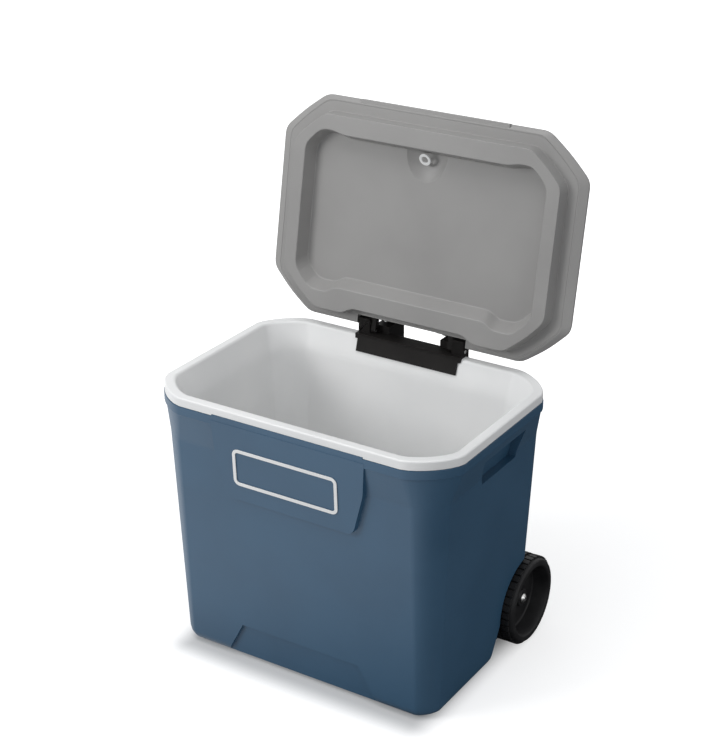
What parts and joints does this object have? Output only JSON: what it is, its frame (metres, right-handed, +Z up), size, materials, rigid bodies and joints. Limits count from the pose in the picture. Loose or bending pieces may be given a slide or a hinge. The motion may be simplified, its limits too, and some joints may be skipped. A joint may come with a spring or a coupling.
{
  "type": "wheeled cooler",
  "caption": "Wheeled cooler, lid open: double-walled blue body with white liner, grey hinged lid with drinks holders, telescoping pull handle, wheels on an axle, drain cap.",
  "frame": {"origin": "on the floor under the middle of the rim", "axes": "+Z up, -Y towards the front, +X to the right seen from the front. The lid stands open."},
  "size_m": [0.588, 0.48, 0.8871],
  "materials": {
    "blue_plastic": "matte, lightly grained",
    "white_plastic": "satin",
    "grey_plastic": "satin",
    "black_plastic": "satin",
    "rubber": "matte",
    "steel": "plain",
    "painted_steel": "satin black",
    "foam": "matte, hidden"
  },
  "bodies": {
    "cooler_body": {"outer_shell": "blue_plastic", "inner_liner": "white_plastic", "foam_core": "foam", "badge_frame": "white_plastic", "hinge_bracket": "black_plastic", "bracket_screw_1": "steel", "bracket_screw_2": "steel", "bracket_screw_3": "steel", "bracket_screw_4": "steel", "hinge_pin_left": "steel", "hinge_pin_right": "steel", "outer_tube_left": "painted_steel", "outer_tube_right": "painted_steel", "outer_bush_left": "black_plastic", "outer_bush_right": "black_plastic", "tube_clamp": "black_plastic", "clamp_screw_left": "steel", "clamp_screw_right": "steel", "axle": "steel", "axle_keeper_left": "black_plastic", "axle_keeper_right": "black_plastic", "keeper_screw_1": "steel", "keeper_screw_2": "steel", "keeper_screw_3": "steel", "keeper_screw_4": "steel", "axle_washer_left": "steel", "axle_washer_right": "steel", "push_nut_left": "steel", "push_nut_right": "steel", "drain_fitting": "white_plastic", "drain_gasket": "rubber", "drain_nut": "white_plastic"},
    "lid": {"lid_top": "grey_plastic", "lid_pan": "grey_plastic", "lid_foam": "foam", "fill_plug": "white_plastic", "hinge_arm_left": "black_plastic", "hinge_arm_right": "black_plastic", "arm_screw_left": "steel", "arm_screw_right": "steel"},
    "handle_middle": {"middle_tube_left": "steel", "middle_tube_right": "steel", "middle_bush_left": "black_plastic", "middle_bush_right": "black_plastic", "middle_foot_left": "black_plastic", "middle_foot_right": "black_plastic"},
    "handle_grip": {"inner_tube_left": "steel", "inner_tube_right": "steel", "inner_foot_left": "black_plastic", "inner_foot_right": "black_plastic", "pull_grip": "black_plastic", "grip_screw_left": "steel", "grip_screw_right": "steel"},
    "wheel_left": {"wheel_left": "black_plastic"},
    "wheel_right": {"wheel_right": "black_plastic"},
    "drain_tether": {"drain_tether": "rubber"},
    "drain_cap": {"drain_cap": "white_plastic"}
  },
  "joints": [
    {"name": "lid_hinge", "type": "hinge", "parent": "cooler_body", "child": "lid", "pos_m": [0, 0.193, 0.4961], "axis": [1, 0, 0], "range_deg": [0, 100.07]},
    {"name": "handle_lower_slide", "type": "slide", "parent": "cooler_body", "child": "handle_middle", "axis": [0, 0.1749, 0.9846], "range_m": [0, 0.27]},
    {"name": "handle_upper_slide", "type": "slide", "parent": "handle_middle", "child": "handle_grip", "axis": [0, 0.1749, 0.9846], "range_m": [0, 0.27]},
    {"name": "wheel_left_spin", "type": "hinge", "parent": "cooler_body", "child": "wheel_left", "pos_m": [-0.2507, 0.1506, 0.0797], "axis": [1, 0, 0], "continuous": true},
    {"name": "wheel_right_spin", "type": "hinge", "parent": "cooler_body", "child": "wheel_right", "pos_m": [0.2507, 0.1506, 0.0797], "axis": [1, 0, 0], "continuous": true},
    {"name": "drain_slide", "type": "slide", "parent": "cooler_body", "child": "drain_tether", "axis": [-1, 0, 0], "range_m": [0, 0.009]},
    {"name": "drain_turn", "type": "hinge", "parent": "drain_tether", "child": "drain_cap", "pos_m": [-0.2547, -0.055, 0.0805], "axis": [-1, 0, 0], "range_deg": [0, 1081]}
  ],
  "couplings": [
    {"joint": "drain_turn", "follows": "drain_slide", "rad_per_m": 2094.4}
  ]
}
